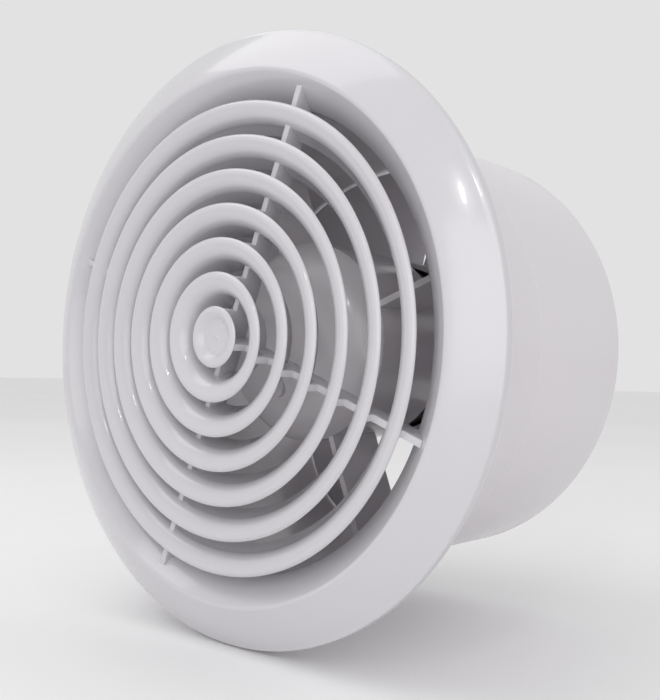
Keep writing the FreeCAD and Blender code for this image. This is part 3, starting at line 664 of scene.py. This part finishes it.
def windings(name, colour):
    """Enamelled copper wire laid side by side."""
    made = Nodes(name)
    wave = made.add("ShaderNodeTexWave", wave_type="BANDS", bands_direction="DIAGONAL")
    wave.inputs["Scale"].default_value = 900.0
    wave.inputs["Distortion"].default_value = 1.2
    made.link(made.place, wave.inputs["Vector"])
    dark = tuple(channel * 0.45 for channel in colour)
    made.link(made.ramp(wave.outputs["Fac"], dark, colour), made.shader.inputs["Base Color"])
    made.link(made.spread(made.noise(200.0), 0.18, 0.35), made.shader.inputs["Roughness"])
    made.bump([(wave.outputs["Fac"], 0.0002, 0.6)])
    made.shader.inputs["Metallic"].default_value = 0.7
    return made.material


def laminations(name, colour):
    """Stacked steel sheets: fine lines across the axis."""
    made = Nodes(name)
    wave = made.add("ShaderNodeTexWave", wave_type="BANDS", bands_direction="Y")
    wave.inputs["Scale"].default_value = 320.0
    wave.inputs["Distortion"].default_value = 0.4
    made.link(made.place, wave.inputs["Vector"])
    dark = tuple(channel * 0.5 for channel in colour)
    made.link(made.ramp(wave.outputs["Fac"], dark, colour, 0.1, 0.6), made.shader.inputs["Base Color"])
    made.link(made.spread(made.noise(220.0), 0.35, 0.6), made.shader.inputs["Roughness"])
    made.bump([(wave.outputs["Fac"], 0.00015, 0.5)])
    made.shader.inputs["Metallic"].default_value = 0.8
    return made.material


MAKERS = {
    # white_abs and inner_abs are one white ABS; inner_abs is made paler as painted light for the parts inside
    # the duct, which the lamps leave in shade.
    "white_abs": lambda: plastic("white_abs", (0.585, 0.572, 0.598), 0.2, tint=0.02, coat=0.5),
    "inner_abs": lambda: plastic("inner_abs", (0.69, 0.662, 0.695), 0.22, tint=0.03, coat=0.25),
    "impeller_plastic": lambda: plastic("impeller_plastic", (0.70, 0.675, 0.705), 0.38, tint=0.05, grain=0.2),
    "black_plastic": lambda: plastic("black_plastic", (0.012, 0.012, 0.014), 0.42, tint=0.3, grain=0.5),
    "terminal_plastic": lambda: plastic("terminal_plastic", (0.62, 0.60, 0.53), 0.45, grain=0.2),
    "nylon": lambda: plastic("nylon", (0.78, 0.75, 0.66), 0.4, grain=0.15),
    "wire_insulation": lambda: plastic("wire_insulation", (0.05, 0.10, 0.36), 0.35),
    "rubber_black": lambda: rubber("rubber_black", (0.015, 0.015, 0.016)),
    "rubber_grey": lambda: rubber("rubber_grey", (0.20, 0.20, 0.21)),
    "zinc_steel": lambda: metal("zinc_steel", (0.62, 0.61, 0.57), 0.3, (1, 1, 4)),
    "shaft_steel": lambda: metal("shaft_steel", (0.68, 0.68, 0.69), 0.16, (1, 6, 1)),
    "cast_zinc": lambda: metal("cast_zinc", (0.55, 0.56, 0.57), 0.45),
    "aluminium": lambda: metal("aluminium", (0.80, 0.80, 0.81), 0.3),
    "brass": lambda: metal("brass", (0.80, 0.60, 0.27), 0.22, (1, 5, 1)),
    "bronze": lambda: metal("bronze", (0.50, 0.33, 0.17), 0.5),
    "copper": lambda: metal("copper", (0.82, 0.42, 0.28), 0.3),
    "copper_enamel": lambda: windings("copper_enamel", (0.62, 0.20, 0.06)),
    "lamination": lambda: laminations("lamination", (0.32, 0.33, 0.35)),
}
made_materials = {}


def material(slot):
    if slot not in made_materials:
        made_materials[slot] = MAKERS[slot]()
    return made_materials[slot]


def paint(item, slot):
    item.data.materials.clear()
    item.data.materials.append(material(slot))


SLOT_OF = {part["node"]: part["material_slot"] for part in frame["record"]["subparts"]}


def dress(item, body, *nodes):
    """Stand a detailed piece in for CAD nodes, in their material."""
    slot = SLOT_OF[nodes[0]]
    paint(item, slot)
    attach(item, body)
    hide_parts(*nodes)


for node_name, node_object in frame["nodes"].items():
    paint(node_object, SLOT_OF[node_name])

dress(joined("front_bezel_moulding", [lathe(bezel_outline())]), "cover", "front_bezel")
dress(build_front_grille(), "cover", "front_grille")
dress(build_duct_extension(), "base", "duct_extension")
dress(build_nose_cap(), "base", "nose_cap")
dress(build_impeller(), "rotor", "impeller")


# --------------------------------------------------- floor, camera and light


def build_floor():
    """Plain pale floor that the fan's flange stands on."""
    mesh = bpy.data.meshes.new("floor")
    level = CAD_LOW.z - FLOOR_GAP
    signs = ((-1, -1), (1, -1), (1, 1), (-1, 1))
    corners = [(FLOOR_REACH * across, FLOOR_REACH * along, level) for across, along in signs]
    mesh.from_pydata(corners, [], [(0, 1, 2, 3)])
    floor = bpy.data.objects.new("floor", mesh)
    bpy.context.scene.collection.objects.link(floor)
    made = Nodes("pale_floor")
    shades = made.ramp(made.noise(3.0), (0.88, 0.875, 0.88), (0.91, 0.905, 0.91))
    made.link(shades, made.shader.inputs["Base Color"])
    made.link(made.spread(made.noise(40.0), 0.6, 0.75), made.shader.inputs["Roughness"])
    made.bump([(made.noise(300.0), 0.0001, 0.2)])
    mesh.materials.append(made.material)


def build_camera():
    """Camera to the fan's right, level with its axis, looking back along the duct."""
    data = bpy.data.cameras.new("camera")
    data.sensor_fit = "AUTO"
    data.sensor_width = 36.0
    data.lens = CAMERA_LENS
    data.clip_start = 0.01
    camera = bpy.data.objects.new("camera", data)
    bpy.context.scene.collection.objects.link(camera)
    azimuth = math.radians(CAMERA_AZIMUTH)
    rise = math.radians(CAMERA_RISE)
    roll = math.radians(CAMERA_ROLL)
    level_forward = Vector((-math.sin(azimuth), math.cos(azimuth), 0.0))
    forward = level_forward * math.cos(rise) + Vector((0.0, 0.0, math.sin(rise)))
    level_right = Vector((math.cos(azimuth), math.sin(azimuth), 0.0))
    level_up = level_right.cross(forward)
    right = level_right * math.cos(roll) + level_up * math.sin(roll)
    up = level_up * math.cos(roll) - level_right * math.sin(roll)
    pose = Matrix((right, up, -forward)).transposed().to_4x4()
    pose.translation = Vector(CAMERA_PLACE)
    camera.matrix_world = pose
    bpy.context.scene.camera = camera


def softbox(name, place, aim, size, power):
    """Rectangular lamp at a place, turned towards its aim."""
    data = bpy.data.lights.new(name, "AREA")
    data.shape = "RECTANGLE"
    data.size, data.size_y = size
    data.energy = power
    lamp = bpy.data.objects.new(name, data)
    bpy.context.scene.collection.objects.link(lamp)
    lamp.location = place
    lamp.rotation_euler = (Vector(aim) - Vector(place)).to_track_quat("-Z", "Y").to_euler()


def build_light():
    """White surroundings, three soft lamps, and a small one for the highlight on the bezel."""
    world = bpy.data.worlds.new("studio")
    bpy.context.scene.world = world
    world.use_nodes = True
    background = world.node_tree.nodes["Background"]
    background.inputs["Color"].default_value = (1.0, 1.0, 1.0, 1.0)
    background.inputs["Strength"].default_value = 0.76
    grille = (0, 0, 0)
    duct = (0, 0.04, 0)
    softbox("overhead", (-0.35, -0.25, 0.9), grille, (0.7, 0.7), 2.0)
    softbox("key", (0.405, -0.711, 0.574), grille, (0.026, 0.085), 0.4)
    softbox("fill", (0.95, -1.25, 0.35), duct, (1.2, 1.0), 2.2)
    softbox("front", (0.34, -0.36, 0.03), duct, (0.45, 0.45), 0.6)


build_floor()
build_camera()
build_light()
bpy.context.scene.view_settings.view_transform = "Standard"
